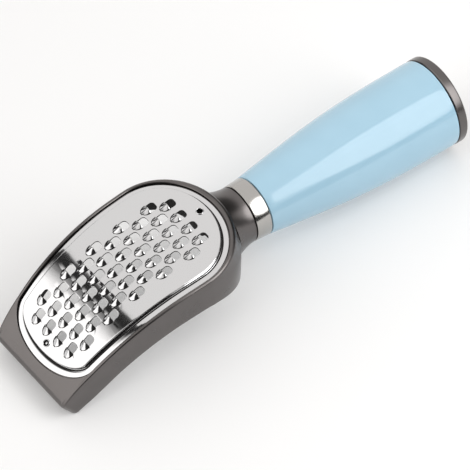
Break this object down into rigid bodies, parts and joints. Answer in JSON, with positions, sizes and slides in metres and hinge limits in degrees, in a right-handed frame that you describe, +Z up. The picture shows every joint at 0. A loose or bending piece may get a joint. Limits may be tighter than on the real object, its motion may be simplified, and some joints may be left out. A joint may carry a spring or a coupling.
{
  "type": "potato grater",
  "caption": "Hand-held coarse grater: an arched cast head, open underneath, holds a punched steel plate with raised teeth; a steel ferrule joins it to a tapered plastic handle with an end cap.",
  "frame": {"origin": "on the surface that the tool lies on, below the middle of its length and width", "axes": "+X along the tool to the handle's end cap, +Y across the head to its left side seen from the handle's end, +Z up from the surface, with the grating side up"},
  "size_m": [0.2186, 0.0628, 0.0458],
  "materials": {
    "gunmetal_casting": "dark grey metallic, satin to glossy",
    "stainless_sheet": "bright polished",
    "polished_ferrule": "mirror polished",
    "blue_handle": "smooth gloss",
    "zinc_hardware": "zinc plated"
  },
  "bodies": {
    "root": {"head_frame": "gunmetal_casting", "grater_plate": "stainless_sheet", "rear_plate_rivet": "stainless_sheet", "front_plate_rivet": "stainless_sheet", "ferrule": "polished_ferrule", "handle_shell": "blue_handle", "tie_screw": "zinc_hardware", "flat_washer": "zinc_hardware", "lock_washer": "zinc_hardware", "end_cap": "gunmetal_casting"}
  },
  "joints": []
}
